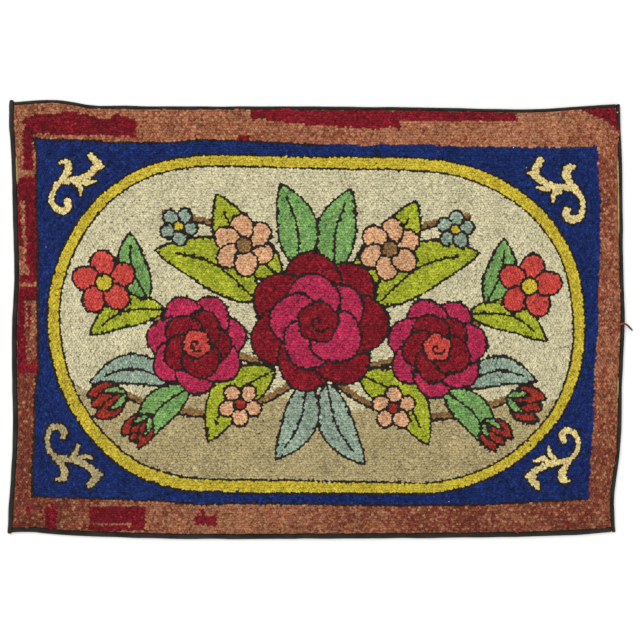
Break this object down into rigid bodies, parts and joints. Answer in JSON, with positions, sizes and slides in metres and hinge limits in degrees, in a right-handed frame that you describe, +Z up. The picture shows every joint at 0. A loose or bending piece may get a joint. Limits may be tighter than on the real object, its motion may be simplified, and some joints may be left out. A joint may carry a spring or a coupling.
{
  "type": "hooked rug",
  "caption": "Oblong hooked rug with a short yarn-loop pile, an oval ring on a bordered field, and a narrow tape binding sewn round its edge; lies flat on a floor.",
  "frame": {"origin": "centre of the rug's outline, on its underside", "axes": "+X along the rug's length, to the right as its pattern is seen; +Y across it, to the pattern's top; +Z up out of the pile"},
  "size_m": [0.9779, 0.6861, 0.0124],
  "materials": {
    "pile_cream": "matte",
    "pile_wheat": "matte",
    "pile_blue": "matte",
    "pile_rust": "matte",
    "pile_crimson": "matte",
    "pile_raspberry": "matte",
    "pile_yellow": "matte",
    "pile_straw": "matte",
    "pile_dark": "matte",
    "pile_lime": "matte",
    "pile_green": "matte",
    "pile_teal": "matte",
    "pile_brick": "matte",
    "pile_coral": "matte",
    "pile_peach": "matte",
    "pile_camel": "matte",
    "burlap": "matte",
    "binding_tape": "matte"
  },
  "bodies": {
    "root": {"rug_body": "pile_cream", "binding_bottom": "binding_tape", "binding_right": "binding_tape", "binding_top": "binding_tape", "binding_left": "binding_tape", "loose_yarn_end": "pile_rust"}
  },
  "joints": []
}
